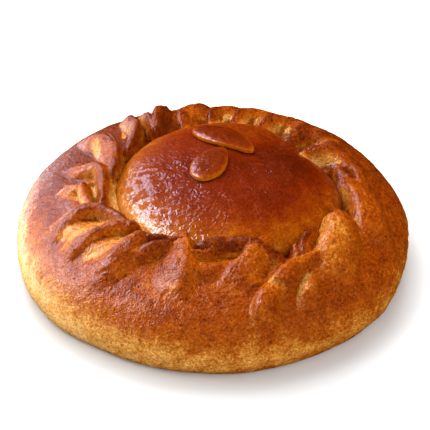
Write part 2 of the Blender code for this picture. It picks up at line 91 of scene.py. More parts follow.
# Folds counter-clockwise from the left front
FOLDS = (
    fold(((207, 111, 0), (204, 99, 5), (202, 89, 9), (203, 80, 11), (206, 75, 12), (214, 71, 12),
          (225, 70, 11)), (13, 6), (4, 5), (0.6, 0.85), (0.6, 0.78, 0.5), 1.0),
    fold(((217, 110, 0), (217, 101, 5), (217, 91, 8), (218, 83, 10), (221, 75, 11), (225, 70, 11)),
         (12, 11), (4, 5), (0.4, 0.85), (0.1, 0.76, 0.5), 1.0),
    fold(((226, 110, 0), (228, 104, 3), (231, 97, 6.5), (232, 87, 9), (233, 80, 10), (233, 74, 10)),
         (12, 10), (17, 12), (0.4, 0.5), (0.1, 0.76, 0.62), 0.5),
    fold(((234, 73, 9), (238, 70, 9.5), (244, 67, 10), (250, 66, 10), (256, 65, 10)), (3, 3),
         (6, 6), (0.6, 0.3), (0.6, 0.85, 0.85), 1.0),
    fold(((238, 83, 6), (241, 78.5, 9.5), (245, 74.5, 10.5), (249, 71.5, 10)), (4, 3), (6, 4),
         (0.9, 0.9), (0.9, 0.8, 0.75)),
    # Its crest is painted paler as a highlight for its sheen, and its left side darker as painted
    # shade
    fold(((257, 106, 0), (258.5, 99, 3.5), (259.5, 92, 7), (259.5, 85, 9.5), (258.5, 76, 10.5),
          (257, 67, 10.5)), (17, 18), (10, 6), (0.5, 0.6), (0.9, 0.62, 0.62)),
    fold(((256, 77, 10), (261, 76.5, 10), (266, 75.5, 9.5), (270.5, 72, 9)), (8, 4), (2.5, 2.5),
         (0.95, 0.6), (0.75, 0.72, 0.85), 0.5),
    fold(((275, 99, 0), (276, 93, 2.5), (277.5, 88, 4.5), (280, 82.5, 6), (283.5, 78, 7.5),
          (287.5, 74, 9), (292, 70.5, 10.5)), (10, 4), (24, 13), (0.4, 0.6), (0.58, 0.66, 0.66)),
    fold(((266, 65, 10), (273, 63.5, 10.5), (280, 64, 10.5), (288, 66.5, 11), (292, 70, 10.5)),
         (3, 3), (11, 8), (0.6, 0.55), (0.6, 0.9, 0.95), 1.0),
    fold(((290, 69, 11), (293, 72.5, 10.5), (296, 76.5, 8), (299.5, 81, 4)), (3, 3), (12, 6),
         (0.6, 0.3), (0.6, 0.85, 0.6), 0.5),
    fold(((283, 133, 0), (283.5, 127, 1.5), (284, 121, 3), (285, 115, 3)), (5, 5), (6, 6),
         (0.6, 0.7), (0.5, 0.5, 0.6)),
    fold(((284, 119, 3), (284, 115.5, 8.5), (285, 111.5, 10.5), (286.5, 108, 10.5),
          (288, 105.5, 7.5)), (6, 6.5), (9, 9), (0.95, 0.95), (0.5, 0.5, 0.62), -0.5),
    fold(((291, 102.5, 5), (292, 100.5, 9), (294.5, 98, 10.5), (298, 95, 10), (302.5, 93.5, 9),
          (309, 93.5, 8.5)), (6, 4), (11, 7), (0.8, 0.85), (0.35, 0.6, 0.68)),
    fold(((302, 92, 4), (304, 88, 6), (306, 83, 7.5)), (3.5, 3), (3.5, 3), (0.8, 0.8),
         (0.6, 0.5, 0.6)),
    fold(((307, 86, 7), (310, 82, 8.5), (313.5, 79.5, 9.5), (318, 79, 9.5)), (3, 3), (11, 10),
         (0.6, 0.45), (0.6, 0.85, 0.4), 1.0),
    # Its left side and crest are painted paler as light that falls on them
    fold(((297, 123, 0), (298, 116, 3.5), (299.5, 111, 6), (303, 106, 7)), (7, 6), (8, 6),
         (0.5, 0.6), (0.1, 0.45, 0.6)),
    fold(((299, 125, 0), (301, 118, 2.5), (302.5, 113, 3.5), (304, 109, 3)), (4, 3), (5, 4),
         (0.6, 0.6), (0.5, 0.6, 0.6)),
    # Its left side and crest are painted paler, partly as light that falls on them
    fold(((306, 112, 0), (309, 105, 3.5), (312.5, 99.5, 8), (318, 94, 11), (324.5, 89, 12.5),
          (330, 85, 13)), (20, 9), (20, 17), (0.4, 0.6), (0.3, 0.47, 0.66)),
    fold(((331, 108, 0), (334.5, 104, 4), (340, 99.5, 7), (345, 95.5, 9), (350, 91, 10),
          (354, 87.5, 10), (356.5, 85, 9)), (9, 5), (20, 14), (0.6, 0.85), (0.4, 0.66, 0.7)),
    fold(((357, 91, 6.5), (362, 87, 8.5), (366, 84, 9), (370, 84, 9), (372, 81, 8)), (6, 5), (4, 4),
         (0.8, 0.7), (0.5, 0.75, 0.7)),
    fold(((357, 94, 6), (363, 93, 8.5), (367, 92.5, 9), (371, 88, 8.5)), (4, 4), (9, 7), (0.4, 0.8),
         (0.8, 0.65, 0.7)),
    fold(((364, 103, 0), (371, 97, 5), (378, 92, 8), (383, 86, 10.5), (386.5, 77, 10.5),
          (387.5, 70, 9)), (14, 9), (12, 5), (0.5, 0.4), (0.1, 0.8, 0.75)),
    fold(((383, 101, 0), (389, 97, 5), (395, 95, 7), (400, 92, 8.5), (403.5, 87, 10.5),
          (404.5, 80, 11), (404.5, 75, 10)), (14, 9), (12, 4), (0.8, 0.4), (0.75, 0.85, 0.75)),
    fold(((402, 101, 0), (408, 97, 4.5), (414, 94, 6), (418.5, 90, 7.5), (421.5, 84, 10),
          (422.5, 77, 10.5), (423, 72, 9)), (18, 12), (12, 3), (0.45, 0.4), (0.0, 0.8, 0.7)),
    fold(((420, 102, 0), (426, 98, 4), (431, 94, 5.5), (435, 90, 7), (437.5, 84, 9.5),
          (438.5, 77, 10), (439, 72, 8.5)), (20, 12), (12, 3), (0.45, 0.4), (0.05, 0.8, 0.7)),
    fold(((437, 103, 0), (442, 98, 4), (446, 93, 5.5), (449, 88, 7.5), (451, 80, 9.5),
          (452, 73, 8.5)), (18, 10), (12, 3), (0.4, 0.4), (0.0, 0.8, 0.7)),
    fold(((450, 103, 0), (454, 99, 5), (459, 95, 6), (463, 90, 7), (466, 82, 8.5), (467.5, 74, 8)),
         (20, 12), (14, 5), (0.5, 0.5), (0.5, 0.8, 0.6)),
    fold(((468, 101, 0), (471, 96, 8), (474, 91, 12), (477, 85, 13), (480, 78, 12.5),
          (483, 72, 10)), (8, 6), (6, 5), (0.9, 0.9), (0.8, 0.88, 0.7)),
    fold(((481, 99, 0), (481, 94, 7), (481, 88, 11), (482, 80, 11.5), (484, 73, 10)), (5, 4),
         (6, 5), (0.6, 0.7), (0.6, 0.85, 0.5)),
    fold(((484, 103, 0), (486.5, 97, 7), (487.5, 91, 11), (488.5, 84, 12.5), (491, 77.5, 12.5),
          (500, 69, 11.5), (507.5, 65, 10.5)), (4, 4), (9, 7), (0.7, 0.6), (0.6, 0.88, 0.5), 0.5),
    fold(((498, 105, 0), (502, 98, 6), (504.5, 91, 10), (506, 83, 12), (510, 74.5, 12.5),
          (516, 68.5, 12), (523.5, 65, 11.5), (529.5, 64, 10.5)), (5, 3.5), (17, 14), (0.8, 0.7),
         (0.4, 0.85, 0.7)),
    fold(((526, 99, 0), (529.5, 88, 6), (529.5, 79, 10), (531, 73.5, 11.5), (537, 70, 12),
          (545, 68.5, 12), (552.5, 69.5, 12), (561.5, 72, 12)), (8, 4.5), (8, 6), (0.6, 0.6),
         (0.3, 0.78, 0.45), 1.0),
    fold(((544, 101, 0), (544, 92, 5), (544.5, 86, 8), (545, 82.5, 9.5), (549.5, 82, 9),
          (554, 81, 8.5), (559, 79.5, 8)), (8, 4.5), (6, 4), (0.6, 0.8), (0.6, 0.74, 0.3), 0.5),
)

# Points of a curve between two of its control points
FOLD_CURVE_STEPS = 6
HOLLOW_CURVE_STEPS = 4

# Powers for the side of a fold, as a hollow skirt and as a full roll
SKIRT = (1.7, 2.1)
ROLL = (2.6, 0.55)

# Rise from which a fold leans and browns in full; share of its height where its browning is full
FULL_FOLD_RISE = 7.0 * MM
FULL_COVER = 0.2

# How fast the crest's browning gives way to the side's, and how late
TONE_SLOPE = 1.3
TONE_DELAY = 0.1

# Wrinkles along the folds: height, browning, width, lumps for each point of the crest, and the
# step in the random field from one fold to the next
RIB_HEIGHT = 0.7 * MM
RIB_TONE = 0.08
RIB_WIDTH = 2.0
RIB_LUMPS = 1.2
RIB_SHIFT = 5.0

# Dough that has risen against the lid's side on the left, and the angle and spread of that side
SEAM_HEIGHT = 5.0 * MM
SEAM_WIDTH = 8.0 * MM
SEAM_SIDE = (170.0, 65.0)

# How far in the crust has sunk under the lid; share of a rise that goes outwards on the slope;
# rise over the places around that is fully proud; height where fine relief is full
LID_OVERLAP = 1.2 * MM
OUTWARD_RISE = 0.6
PROUD_RISE = 2.5 * MM
PROUD_WINDOW = 6
FOOT_SMOOTH = 4.0 * MM

# Fine wrinkles round the rim, right, and down the side, left: depth, repeats round the pie and
# down it, seed; then their size, mean, layout radius and half the width between the two
RIM_LINES = (1.2, 1.0, 5.0, 41.0)
SIDE_LINES = (0.5, 3.0, 1.5, 43.0)
LINE_SIZE = 11.0 * MM
LINE_MEAN = 0.25
LINE_RADIUS = 0.1
LINE_CHANGE = 60.0 * MM

# Random relief and browning: strength, size and seed of each layer
CRUST_RELIEF = ((0.7, 22.0, 0.0), (0.35, 8.0, 3.0), (0.15, 2.6, 7.0))
CRUST_MOTTLE = ((0.08, 30.0, 11.0), (0.06, 10.0, 17.0))
LID_RELIEF = ((0.8, 26.0, 5.0), (0.45, 8.0, 9.0), (0.08, 2.4, 13.0))
LID_MOTTLE = ((0.07, 24.0, 21.0), (0.05, 8.0, 25.0))
LEAF_RELIEF = ((0.35, 9.0, 31.0), (0.12, 3.0, 33.0))
LEAF_MOTTLE = ((0.06, 8.0, 37.0),)

# Pale hollows and pale patches between folds: (angle, radius) of start, middle and end, half
# width, depth
POCKETS = (
    ((207.5, 103), (210.5, 91), (214.5, 77), 9, 0), ((222, 101), (225, 90), (228.5, 78), 9, 0),
    ((183, 97), (187, 89), (193.5, 81), 7, 0), ((168, 93), (171, 84), (177, 76), 7, 0),
    ((148, 95), (152, 89), (158, 82), 4.5, 0.5), ((128, 99), (131, 93), (136, 86), 4.5, 0.5),
    ((119, 98), (121, 92), (123, 87), 3, 0), ((44, 76), (39, 75), (36, 83), 4.5, 2),
    ((356, 86), (352, 86), (347, 86), 3, 2),
)
# Hollows whose colour is pulled towards VALLEY_TONE: partly browning, partly painted shade in them
VALLEYS = (
    ((283, 95), (290, 88), (294, 82), 7, 2), ((189, 79), (194, 77), (199, 77), 4, 3),
    ((304, 95), (309, 90), (316, 84), 6, 1.5), ((261, 80), (275, 77.5), (289, 76.5), 8, 0),
    ((245, 104), (251, 102), (257, 101), 8, 0.5),
    ((66, 100), (69, 90), (71, 77), 2.5, 2.5), ((49, 98), (53, 88), (54.5, 76), 2.5, 2.5),
    ((82, 100), (85, 90), (86, 78), 2.5, 2), ((97, 100), (100, 90), (102, 78), 2.5, 2),
    ((31, 98), (34, 88), (35, 78), 3, 3),
)

# Dough puffed up between folds: as above, depth is its rise
SWELLS = (
    ((207, 94), (216, 88), (228, 84), 20, 4), ((182, 91), (188, 87), (197, 83), 15, 3),
    ((163, 89), (169, 85), (176, 80), 12, 2), ((262, 85), (268, 81), (276, 77), 14, 5),
)

# Colour of the crust, from 0, palest, to 1, darkest: what its places add. The all and shoulder
# entries are browning, and the right entry makes the right side darker. The rest is painted light
# and shade: the left side and the groove by the lid, most on the left, are painted paler as
# light, and the left shoulder, back and back left are painted darker as shade
CRUST_BROWNING_AND_LIGHT = {
    "all": 0.28, "shoulder": 0.42, "right": 0.1, "left shoulder": 0.16, "left side": -0.42,
    "back": 0.28, "back left": 0.5, "groove": -0.15, "left groove": -0.45,
}
BROWN_PROUD = 0.16
BROWN_FOOT = 0.12

# Tone of valleys, partly browning and partly painted shade in them, and how far it counts;
# browning of pockets, and how far and how steeply ridges stay clear of it
VALLEY_TONE = 0.56
VALLEY_SHARE = 0.8
POCKET_TONE = 0.37
POCKET_RIDGES = 0.7
RIDGE_SLOPE = 1.5

# Sides of the crust: angle and spread. Zones, from and to: share of the shoulder's height, share
# of the radius, distance from the middle. Height of the darker band at the foot
LEFT = (195.0, 45.0)
RIGHT = (340.0, 60.0)
BACK_LEFT = (142.0, 32.0)
SHOULDER_ZONE = (0.25, 0.85)
OUTER_ZONE = (0.82, 0.98)
GROOVE_ZONE = (76.0 * MM, 88.0 * MM)
FOOT_BROWN_HEIGHT = 2.5 * MM

# Lid. Under it the crust stays LID_SINK below its top
LID_SINK = 3.5 * MM
LID_CENTRE = (11.0 * MM, 0.5 * MM)
LID_DENT = 12.0 * MM
LID_DENT_TURN = math.radians(30.0)
LID_DENT_SPREAD = math.radians(52.0)
LID_EDGE_HEIGHT = 43.0 * MM
LID_FULLNESS = 3.0
LID_UNDERSIDE = 38.5 * MM
LID_STEPS = 480
LID_ROWS = 100
LID_SMOOTH_EDGE = 0.08

# Lumps and dents of the lid: place, rise, spread
LID_LUMPS = ((0, 14, 2.0, 24), (47, 4, 2.6, 20), (27, 14, -2.4, 11), (45, 38, -3.0, 20))

# Rings below the lid's edge: how far in, height
LID_LOWER_RINGS = ((0.2, 41.5), (0.6, 40.0), (1.6, 39.0), (3.0, 38.5), (30.0, 38.5))

# Colour of the lid: what its places add, and where they lie. The all, edge and front entries are
# browning; the left is painted paler as light and sheen on it, and the rim at the lower left is
# paler, partly pooled glaze and partly a painted highlight
LID_BROWNING_AND_LIGHT = {"all": 0.78, "edge": -0.35, "front": -0.22, "left": -0.24, "rim": -0.25}
LID_PALE_POWER = 1.5
LID_LEFT_FROM = 5.0 * MM
LID_CORNER = 3.0
LID_EDGE_ZONE = (0.55, 1.0)
LID_RIM_ZONE = (0.88, 0.98)

# Patches of the lid that are drawn lighter or darker: place, spread, change
LID_PATCHES = ((22, 38, 18, -0.3), (47, 12, 24, 0.22))

# Where the glaze has dried dull: from front to back, and from right to left
DULL_BACK = (-2.0 * MM, 24.0 * MM)
DULL_LEFT = (40.0 * MM, 0.0)

# Leaves: centre, turn, length, width, thickness
LEAVES = {
    "leaf_far": (7.0, 31.5, -37.0, 49.0, 23.0, 4.6),
    "leaf_near": (-1.2, -1.2, 62.0, 35.0, 21.5, 4.9),
}
LEAF_ROWS = 45
LEAF_STEPS = 240
LEAF_GAP = 0.1 * MM

# Outline of a leaf, place of its highest point, roundness of its top
LEAF_TAPER = 0.8
LEAF_FULLNESS = 0.62
LEAF_PEAK = -0.06
LEAF_PUFF = 2.6

# Browning of a leaf's top, its edge and its cut side; the cut side is also painted paler as light
# against the shade it lies in
LEAF_BROWN = 0.82
LEAF_PALE_EDGE = 0.5
LEAF_EDGE_POWER = 8
LEAF_SIDE_BROWN_AND_LIGHT = 0.1

# Rings down a leaf's side and under it: shares of its outline and of its thickness
LEAF_LOWER_RINGS = ((1.0, 0.3), (0.995, 0.12), (0.97, 0.0), (0.5, 0.0))

# Looks. Patterns: size and depth, which is in millimetres for wrinkles and grain. sheen: size of
# its patches; gloss: roughness of shiny and matt ones; shine: specular level; glaze: egg wash
CRUST_LOOK = {
    "patches": (9.0, 0.5), "specks": (1.9, 0.85), "flecks": (1.1, 0.3), "pores": (2.4, 0.5),
    "wrinkles": (3.0, 0.35), "grain": (1.2, 0.45),
    "sheen": 2.4, "gloss": (0.25, 0.46), "shine": 0.36,
}
LID_LOOK = {
    "patches": (7.0, 0.4), "specks": (1.8, 0.4), "flecks": (1.0, 0.2), "pores": (2.0, 0.15),
    "wrinkles": (2.8, 0.7), "grain": (1.4, 0.12),
    "sheen": 5.0, "gloss": (0.42, 0.5), "shine": 0.11, "glaze": 1.0,
}
LEAF_LOOK = {
    "patches": (5.0, 0.3), "specks": (1.6, 0.4), "flecks": (1.0, 0.25), "pores": (2.0, 0.2),
    "wrinkles": (2.5, 0.4), "grain": (1.2, 0.1),
    "sheen": 3.0, "gloss": (0.3, 0.4), "shine": 0.25, "glaze": 0.8,
}

# Part of a noise, which lies round 0.5, over which flecks, pores, sheen and egg wash change
FLECK_RANGE = (0.3, 0.7)
PORE_RANGE = (0.66, 0.78)
SHEEN_RANGE = (0.4, 0.6)
WASH_RANGE = (0.44, 0.51)

# Viewpoint of the photograph
VIEW_ELEVATION = math.radians(37.0)
VIEW_DISTANCE = 0.7
VIEW_LENS = 89.1
VIEW_TARGET = (0.0015, 0.0, 0.0239)

# Floor, and lamps: azimuth, elevation, size, tint. Windows are only seen reflected, and screens
# only light the pie
FLOOR_HALF = 6.0
LAMP_AIM = (0.0, 0.0, 0.03)
LAMP_DISTANCE = 1.2
WINDOWS = {
    "back_window": (127, 34, (0.58, 0.95), "#CADCFF"),
    "left_window": (172, 40, (0.75, 0.9), "#D4E2FF"),
}
SCREENS = {
    "key": (152, 42, (1.3, 1.1), "#FFFFFF"),
    "top": (95, 55, (0.9, 0.9), "#FFFFFF"),
    "fill": (308, 34, (1.6, 1.0), "#FFFFFF"),
}

# Lamp that lies on the floor and shines up: place, size, tint
BOUNCE_PLACE = (-0.5, -0.05, 0.002)
BOUNCE_SIZE = (0.65, 0.8)
BOUNCE_TINT = "#E0E6F4"


def linear(code):
    """Linear RGBA of an sRGB hex colour."""
    parts = [int(code[place:place + 2], 16) / 255.0 for place in (1, 3, 5)]
    parts = [p / 12.92 if p <= 0.04045 else ((p + 0.055) / 1.055) ** 2.4 for p in parts]
    return (*parts, 1.0)


def smooth_step(value):
    value = np.clip(value, 0.0, 1.0)
    return value * value * (3.0 - 2.0 * value)


def smooth_between(value, start, end):
    """0 at the start, 1 at the end, and a smooth slope between them."""
    return smooth_step((value - start) / (end - start))


def rough(points, size, seed=0.0):
    """A smooth random field, about -1 to 1, whose lumps are size wide."""
    places = (points / size + seed).tolist()
    return np.array([noise.noise(place) for place in places])


def layered(points, layers):
    """Sum of random fields, from the strength, size and seed of each."""
    return sum(strength * rough(points, size * MM, seed) for strength, size, seed in layers)


def toward(points, angle, spread):
    """1 for points in the direction of an angle, less to both sides."""
    away = np.degrees(np.arctan2(points[:, 1], points[:, 0])) - angle
    return np.exp(-(((away + 180.0) % 360.0 - 180.0) / spread) ** 2)


def near_spot(x, y, spot_x, spot_y, spread):
    """1 at a spot, less round it."""
    away = np.hypot(x - spot_x * MM, y - spot_y * MM) / (spread * MM)
    return np.exp(-away * away)


def plan_point(angle, radius):
    turn = math.radians(angle)
    return np.array([math.cos(turn), math.sin(turn)]) * radius * MM


def along_curve(controls, steps):
    """Points of a smooth curve through control points, the same number between each two."""
    ends = [2.0 * controls[0] - controls[1], *controls, 2.0 * controls[-1] - controls[-2]]
    points = []
    for before, start, end, after in zip(ends, ends[1:], ends[2:], ends[3:]):
        for step in range(steps):
            t = step / steps
            points.append(0.5 * (2.0 * start + (end - before) * t
                                 + (2.0 * before - 5.0 * start + 4.0 * end - after) * t ** 2
                                 + (3.0 * start - before - 3.0 * end + after) * t ** 3))
    return np.array(points + [controls[-1]])


# Form of the lid


def lid_outline(turn, radius):
    """Distance of the lid's edge from its centre, which is dented at the back right."""
    away = np.abs((turn - LID_DENT_TURN + math.pi) % (2.0 * math.pi) - math.pi)
    dent = np.cos(np.clip(away / LID_DENT_SPREAD, 0.0, 1.0) * math.pi / 2.0) ** 2
    return radius - LID_DENT * dent


def lid_reach(x, y, radius):
    """Distance from the lid's centre as a share of its outline: 1 at the edge."""
    across, along = x - LID_CENTRE[0], y - LID_CENTRE[1]
    return np.hypot(across, along) / lid_outline(np.arctan2(along, across), radius)


def lid_top(x, y, lid):
    """Height of the lid's top, without its fine relief."""
    reach = np.clip(lid_reach(x, y, lid.radius), 0.0, 1.0)
    dome = np.sqrt(1.0 - reach ** LID_FULLNESS)
    height = LID_EDGE_HEIGHT + (lid.crown - LID_EDGE_HEIGHT) * dome
    for lump_x, lump_y, rise, spread in LID_LUMPS:
        lump = near_spot(x, y, lump_x, lump_y, spread)
        height = height + rise * MM * lump * np.minimum(1.0, 2.0 * dome)
    return height


# Grids of points


def grid_object(name, rings, top, bottom):
    """A closed mesh from rings of points, each shaped (steps, 3), with a point at each end."""
    rows, steps = rings.shape[:2]
    points = np.concatenate([rings.reshape(-1, 3), [top], [bottom]])
    index = np.arange(rows * steps).reshape(rows, steps)
    after = np.roll(index, -1, axis=1)
    quads = np.stack([index[:-1], index[1:], after[1:], after[:-1]], axis=-1).reshape(-1, 4)
    peak, foot = rows * steps, rows * steps + 1
    caps = [(peak, a, b) for a, b in zip(index[0].tolist(), after[0].tolist())]
    caps += [(foot, b, a) for a, b in zip(index[-1].tolist(), after[-1].tolist())]
    mesh = bpy.data.meshes.new(name)
    mesh.from_pydata(points.tolist(), [], quads.tolist() + caps)
    mesh.shade_smooth()
    piece = bpy.data.objects.new(name, mesh)
    bpy.context.scene.collection.objects.link(piece)
    return piece


def ring_normals(rings):
    """Outward directions at the points of a grid of rings."""
    down = np.gradient(rings, axis=0)
    round_way = np.roll(rings, -1, axis=1) - np.roll(rings, 1, axis=1)
    normal = np.cross(down, round_way)
    return normal / np.maximum(np.linalg.norm(normal, axis=2, keepdims=True), 1e-12)


def spread_out(values, reach):
    """Values on a grid of rings, averaged over that many rows and steps each way."""
    window = 2 * reach + 1
    total = sum(np.roll(values, shift, axis=1) for shift in range(-reach, reach + 1))
    padded = np.pad(total / window, ((reach, reach), (0, 0)), mode="edge")
    return sum(padded[shift:shift + len(values)] for shift in range(window)) / window


def set_values(piece, name, rings):
    """Stores one number a point of the grid for the material; the end points take the mean."""
    values = np.concatenate([rings.ravel(), [rings[0].mean(), rings[-1].mean()]])
    layer = piece.data.attributes.new(name, "FLOAT", "POINT")
    layer.data.foreach_set("value", np.clip(values, 0.0, 1.0).astype(np.float32))


# Form of the crust


def beside_curve(points, curve):
    """Distance, share of length, side and side direction of points beside a curve."""
    best = np.full(len(points), np.inf)
    share = np.zeros(len(points))
    side = np.ones(len(points))
    across = np.zeros((len(points), 2))
    for step in range(len(curve) - 1):
        start, run = curve[step], curve[step + 1] - curve[step]
        rel = points - start
        part = np.clip(rel @ run / (run @ run), 0.0, 1.0)
        away = rel - part[:, None] * run
        distance = np.hypot(away[:, 0], away[:, 1])
        right = np.array([run[1], -run[0]]) / math.hypot(*run)
        nearer = distance < best
        best = np.where(nearer, distance, best)
        share = np.where(nearer, (step + part) / (len(curve) - 1), share)
        side = np.where(nearer, np.where(rel @ right > 0.0, 1.0, -1.0), side)
        across = np.where(nearer[:, None], right, across)
    return best, share, side, across


def side_form(share, rounded):
    """Height over a side of a fold as a share: 1 at the crest, 0 where the side ends."""
    inner, outer = (skirt + (roll - skirt) * rounded for skirt, roll in zip(SKIRT, ROLL))
    return (1.0 - np.clip(share, 0.0, 1.0) ** inner) ** outer


def fold_sides(shape, distance, share, side):
    """Height as a share, and browning, over the two sides of a fold, on some folds partly painted
    light and shade.
    """
    form = np.zeros(len(distance))
    shade = np.zeros(len(distance))
    crest_tone = shape["tones"][1]
    for place, side_tone in enumerate(shape["tones"][::2]):
        here = (side > 0.0) == (place == 1)
        foot, tip = shape["widths"][place]
        part = distance / ((foot + (tip - foot) * share) * MM)
        blend = smooth_step(part * TONE_SLOPE - TONE_DELAY)
        form = np.where(here, side_form(part, shape["rounded"][place]), form)
        shade = np.where(here, crest_tone + (side_tone - crest_tone) * blend, shade)
    return form, shade


def add_folds(points, bed, level):
    """Raises the folds over the dough; returns height, lean in plan, browning, partly painted light
    and shade, and its weight.
    """
    height = bed.copy()
    lean = np.zeros((len(points), 2))
    tone = np.zeros(len(points))
    cover = np.zeros(len(points))
    for number, shape in enumerate(FOLDS):
        crest = [np.append(plan_point(angle, radius), rise * MM)
                 for angle, radius, rise in shape["crest"]]
        curve = along_curve(crest, FOLD_CURVE_STEPS)
        reach = max(max(widths) for widths in shape["widths"]) * MM
        near = np.all((points > curve[:, :2].min(0) - reach)
                      & (points < curve[:, :2].max(0) + reach), axis=1)
        distance, share, side, across = beside_curve(points[near], curve[:, :2])
        rise = np.interp(share, np.linspace(0.0, 1.0, len(curve)), curve[:, 2])
        form, shade = fold_sides(shape, distance, share, side)
        shift = np.full(len(share), number * RIB_SHIFT * MM)
        places = [distance / RIB_WIDTH, share * len(crest) * RIB_LUMPS * MM, shift]
        ribs = rough(np.stack(places, axis=1), MM)
        own = bed[near] + (level[near] + rise + RIB_HEIGHT * ribs * form - bed[near]) * form
        higher = own > height[near]
        strength = np.minimum(1.0, rise / FULL_FOLD_RISE)
        raised = np.flatnonzero(near)[higher]
        lean[raised] = (across * (shape["lean"] * MM * form * strength)[:, None])[higher]
        tone[raised] = (shade + RIB_TONE * ribs)[higher]
        cover[raised] = (strength * smooth_step(form / FULL_COVER))[higher]
        height[raised] = own[higher]
    return height, lean, tone, cover


def hollows(points, table):
    """How far points lie in the hollows of a table, 0 to 1, and how deep they are."""
    share_deep = np.zeros(len(points))
    depth = np.zeros(len(points))
    for start, middle, end, width, deep in table:
        controls = [plan_point(*start), plan_point(*middle), plan_point(*end)]
        distance, share, _, _ = beside_curve(points, along_curve(controls, HOLLOW_CURVE_STEPS))
        # Half as wide at its ends, and level over a third of its width
        reach = width * MM * (0.5 + 0.5 * np.sin(math.pi * share))
        form = smooth_step(1.5 * (1.0 - distance / reach))
        share_deep = np.maximum(share_deep, form)
        depth += deep * MM * form
    return share_deep, depth


def crust_rows(crust):
    """Half outline of the crust: radius and height of each row from the top to the foot."""
    width = crust.radius - crust.shoulder_radius
    rise = crust.shoulder_height - crust.belly_height
    radii = np.arange(INNER_RADIUS, FINE_RADIUS, FINE_SPACING)
    out = np.clip((radii - crust.shoulder_radius) / width, 0.0, 1.0)
    heights = crust.belly_height + rise * np.sqrt(1.0 - out ** 2)
    last = math.asin(out[-1])
    turns = np.linspace(last, math.pi / 2.0, SIDE_ROWS + 1)[1:]
    radii = np.append(radii, crust.shoulder_radius + width * np.sin(turns))
    heights = np.append(heights, crust.belly_height + rise * np.cos(turns))
    turns = np.linspace(0.0, math.pi / 2.0, FOOT_ROWS + 1)[1:]
    radii = np.append(radii, crust.foot_radius + (crust.radius - crust.foot_radius) * np.cos(turns))
    heights = np.append(heights, crust.belly_height * (1.0 - np.sin(turns)))
    return radii, heights


def crust_grid(crust, lid):
    """Plain rings of the crust, and how far each point belongs to its top, 0 to 1."""
    radii, heights = crust_rows(crust)
    blend = TOP_BLEND * (crust.shoulder_height - crust.belly_height)
    top_row = smooth_step((heights - crust.belly_height) / blend)
    turn = np.linspace(0.0, 2.0 * math.pi, CRUST_STEPS, endpoint=False)[None, :]
    inward = 1.0 - smooth_between(radii, lid.radius, FINE_RADIUS)
    turn = turn + (SWIRL * inward * top_row)[:, None]
    rings = np.stack([radii[:, None] * np.cos(turn), radii[:, None] * np.sin(turn),
                      np.repeat(heights[:, None], CRUST_STEPS, axis=1)], axis=-1)
    return rings, np.repeat(top_row, CRUST_STEPS)


def crust_bed(points, top, crust, lid):
    """Height of the dough below the folds, how far it is under the lid, pockets and valleys."""
    plan = points[:, :2]
    beyond = (lid_reach(plan[:, 0], plan[:, 1], lid.radius) - 1.0) * lid.radius
    groove = (1.0 - smooth_step(beyond / crust.groove_width)) * top
    bed = points[:, 2] - (crust.shoulder_height - crust.groove_height) * groove
    pale, pocket = hollows(plan, POCKETS)
    dim, valley = hollows(plan, VALLEYS)
    _, swell = hollows(plan, SWELLS)
    bed = bed + (swell - pocket - valley) * top
    seam = np.clip(1.0 - beyond / SEAM_WIDTH, 0.0, 1.0) ** 2
    bed += SEAM_HEIGHT * toward(plan, *SEAM_SIDE) * seam * top
    under = smooth_step(-beyond / LID_OVERLAP) * top
    in_lid = np.maximum(lid_top(plan[:, 0], plan[:, 1], lid) - LID_SINK, LID_UNDERSIDE + MM)
    return bed + (in_lid - bed) * under, under, pale, dim


def swelling(plan):
    """How far the outline stands out beyond a circle."""
    return sum(size * MM * toward(plan, angle, spread) for angle, spread, size in UNEVEN)


def shape_crust(crust, lid):
    """Rings of crust points with folds, hollows and relief, and how brown each point is, with light
    and shade painted in.
    """
    rings, top = crust_grid(crust, lid)
    grid = rings.shape[:2]
    points = rings.reshape(-1, 3)
    plan, level = points[:, :2], points[:, 2]
    radius = np.hypot(plan[:, 0], plan[:, 1])
    bed, under, pale, dim = crust_bed(points, top, crust, lid)
    folded, lean, tone, cover = add_folds(plan, bed, level)
    lift = (folded - level) * top

    # Where the shoulder slopes, what rises on it also goes outwards
    tilt = np.clip((radius - crust.shoulder_radius) / (crust.radius - crust.shoulder_radius), 0, 1)
    outward = plan / radius[:, None]
    shaped = points.copy()
    shaped[:, 2] += lift * np.sqrt(1.0 - tilt ** 2 / 2.0)
    shaped[:, :2] += outward * (lift * OUTWARD_RISE * tilt)[:, None] + lean * top[:, None]
    outer = smooth_between(radius / crust.shoulder_radius, *UNEVEN_ZONE)
    shaped[:, :2] *= (1.0 + swelling(plan) / crust.radius * outer)[:, None]

    lift = lift.reshape(grid)
    proud = np.clip((lift - spread_out(lift, PROUD_WINDOW)) / PROUD_RISE, -1.0, 1.0).ravel()
    fade = smooth_step(shaped[:, 2] / FOOT_SMOOTH) * (1.0 - under)
    relief = (layered(shaped, CRUST_RELIEF) + skin_lines(rings)) * MM * fade
    form = shaped.reshape(rings.shape)
    form = form + ring_normals(form) * relief.reshape(*grid, 1)
    bake = crust_browning_and_light(points, shaped[:, 2], crust, (pale, dim, tone, cover, proud))
    return form, bake.reshape(grid)


def skin_lines(rings):
    """Fine wrinkles, in millimetres: round the rim on the right, down its side on the left."""
    down = np.linalg.norm(np.diff(rings[:, 0], axis=0), axis=1).cumsum()
    down = np.repeat(np.concatenate([[0.0], down]), rings.shape[1])
    points = rings.reshape(-1, 3)
    radius = np.hypot(points[:, 0], points[:, 1])
    spot = points[:, :2] / radius[:, None] * LINE_RADIUS
    right = smooth_between(points[:, 0], -LINE_CHANGE, LINE_CHANGE)
    height = np.full(len(points), LINE_MEAN)
    for share, lines in ((right, RIM_LINES), (1.0 - right, SIDE_LINES)):
        depth, round_pie, down_pie, seed = lines
        places = np.column_stack([spot * round_pie, down * down_pie])
        height -= depth * share * np.abs(rough(places, LINE_SIZE, seed))
    return height


